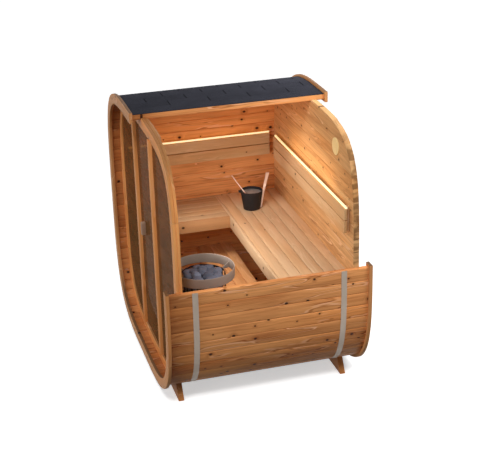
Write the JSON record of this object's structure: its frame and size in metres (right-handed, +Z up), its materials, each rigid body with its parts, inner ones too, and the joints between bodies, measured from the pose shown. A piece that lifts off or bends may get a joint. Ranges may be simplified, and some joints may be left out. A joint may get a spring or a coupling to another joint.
{
  "type": "cutaway garden sauna",
  "caption": "Rounded stave-built garden sauna with a glazed door front, corner benches, a stove and a bucket, shown with its near upper quarter cut away.",
  "frame": {"origin": "on the ground under the middle of the sauna", "axes": "+X from the door end to the back wall along the staves, +Y from the cut side to the closed far wall, +Z up"},
  "size_m": [1.526, 2.032, 2.03],
  "materials": {
    "shell_wood": "oiled heat-treated softwood staves with small dark knots",
    "ring_wood": "planed softwood, light oil",
    "shingle": "black bitumen felt shingles with mineral grit",
    "band_steel": "brushed stainless steel strap",
    "frame_wood": "planed softwood, light oil",
    "glass": "clear toughened glass",
    "hinge_brass": "brushed brass",
    "handle_wood": "dark oiled wood block",
    "bench_wood": "clear planed hardwood, unfinished",
    "light_strip": "lit warm white strip",
    "stove_black": "matt black heat-proof paint",
    "stone": "rounded dark grey sauna stones",
    "guard_metal": "satin grey-beige enamel",
    "bucket_black": "matt black",
    "ladle_wood": "smooth pale wood"
  },
  "bodies": {
    "sauna": {"roof_shell": "shell_wood", "far_wall_shell": "shell_wood", "floor_shell": "shell_wood", "near_wall_shell": "shell_wood", "front_ring": "ring_wood", "back_ring": "ring_wood", "roof_shingles": "shingle", "front_band": "band_steel", "back_band": "band_steel", "front_foot": "shell_wood", "back_foot": "shell_wood", "back_wall": "shell_wood", "front_frame": "frame_wood", "header_board": "frame_wood", "far_post": "frame_wood", "near_post": "frame_wood", "far_window": "glass", "near_window": "glass", "hinge_leaves": "hinge_brass", "vent_cover": "bench_wood", "main_bench_top": "bench_wood", "main_bench_fascia": "bench_wood", "main_bench_bearers": "bench_wood", "side_bench_top": "bench_wood", "side_bench_fascia": "bench_wood", "side_bench_bearers": "bench_wood", "step_bench_top": "bench_wood", "step_bench_fascia": "bench_wood", "step_bench_frame": "bench_wood", "back_rest": "bench_wood", "back_rest_battens": "bench_wood", "side_rest": "bench_wood", "side_rest_battens": "bench_wood", "back_light": "light_strip", "side_light": "light_strip", "stove_casing": "stove_black", "stove_cage": "stove_black", "stove_stones": "stone", "stove_guard": "guard_metal", "bucket": "bucket_black", "bucket_grip": "ladle_wood", "ladle": "ladle_wood"},
    "door": {"door_glass": "glass", "door_hinges": "hinge_brass", "door_handle": "handle_wood"}
  },
  "joints": [
    {"name": "door_hinge", "type": "hinge", "parent": "sauna", "child": "door", "pos_m": [-0.671, -0.248, 1], "axis": [0, 0, 1], "range_deg": [0, 110]}
  ]
}
